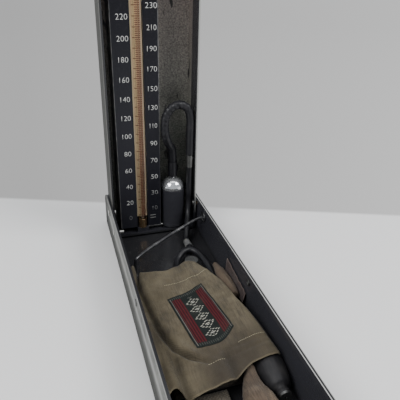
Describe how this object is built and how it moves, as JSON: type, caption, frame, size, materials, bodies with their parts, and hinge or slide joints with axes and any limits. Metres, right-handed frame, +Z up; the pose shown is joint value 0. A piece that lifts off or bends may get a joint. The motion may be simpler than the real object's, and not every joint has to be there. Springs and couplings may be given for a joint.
{
  "type": "mercury sphygmomanometer",
  "caption": "Desk mercury blood pressure gauge: shallow steel case with folded cuff and squeeze bulb, hinged upright lid holding a glass tube, scale and reservoir.",
  "frame": {"origin": "middle of the case's footprint, on the table, with the lid standing open", "axes": "+X across the case to the reservoir's side, +Y from the case's front to the hinge, +Z up"},
  "size_m": [0.1034, 0.365, 0.35],
  "materials": {
    "case_paint": "worn enamel on sheet steel",
    "black_rubber": "aged natural rubber, slightly shiny",
    "bulb_rubber": "moulded rubber, matt",
    "nickel_plate": "old nickel plate",
    "brass": "tarnished brass",
    "black_enamel": "gloss black enamel",
    "chrome": "polished, with light wear",
    "grey_fitting": "grey coupling",
    "cotton": "olive cotton cloth",
    "brown_cloth": "brown cotton cloth, worn",
    "webbing": "woven webbing",
    "label_cloth": "woven label",
    "ivory_card": "yellowed printed strip",
    "tube_glass": "clear glass",
    "mercury": "liquid metal",
    "vent_leather": "thin porous leather"
  },
  "bodies": {
    "case": {"case_tray": "case_paint", "rubber_feet": "black_rubber", "lid_stop_pads": "black_rubber", "hinge_pins": "nickel_plate", "hinge_washers": "brass", "bail_stud": "nickel_plate", "bail_plate": "black_enamel", "bail_wire": "black_enamel", "wall_rivets": "nickel_plate", "cuff_under": "cotton", "bladder": "black_rubber", "cuff_top": "cotton", "cuff_label": "label_cloth", "cuff_roll_left": "cotton", "cuff_roll_right": "brown_cloth", "cuff_fold": "brown_cloth", "cuff_tail": "brown_cloth", "cuff_strap": "webbing", "bulb": "bulb_rubber", "bulb_inlet_valve": "nickel_plate", "bulb_outlet": "nickel_plate", "bulb_tube": "black_rubber", "valve_body": "nickel_plate", "valve_tube": "black_rubber", "cuff_tube": "black_rubber", "hose_coupler": "grey_fitting", "air_hose": "black_rubber"},
    "lid": {"lid_shell": "case_paint", "scale_panel": "black_enamel", "panel_screws": "nickel_plate", "panel_nuts": "nickel_plate", "scale_strip": "ivory_card", "glass_tube": "tube_glass", "tube_mercury": "mercury", "tube_gland": "brass", "gland_seal": "black_rubber", "gland_block": "black_enamel", "transfer_pipe": "nickel_plate", "tube_cap": "nickel_plate", "vent_disc": "vent_leather", "reservoir_foot": "black_enamel", "reservoir_body": "black_enamel", "reservoir_mercury": "mercury", "dome_gasket": "black_rubber", "reservoir_dome": "chrome", "hose_sleeve": "black_rubber", "loop_hose": "black_rubber", "slip_socket": "nickel_plate", "slip_plug": "nickel_plate", "catch_guide": "nickel_plate"},
    "catch": {"catch_slide": "nickel_plate"},
    "thumbscrew": {"valve_thumbscrew": "nickel_plate"}
  },
  "joints": [
    {"name": "lid_hinge", "type": "hinge", "parent": "case", "child": "lid", "pos_m": [0, 0.1355, 0.036], "axis": [1, 0, 0], "range_deg": [0, 90], "deforming": ["air_hose"]},
    {"name": "catch_travel", "type": "slide", "parent": "lid", "child": "catch", "axis": [0, 0, 1], "range_m": [0, 0.003]},
    {"name": "thumbscrew_turn", "type": "hinge", "parent": "case", "child": "thumbscrew", "pos_m": [0.019, 0.0515, 0.015], "axis": [0, 0, 1], "range_deg": [0, 270]}
  ]
}
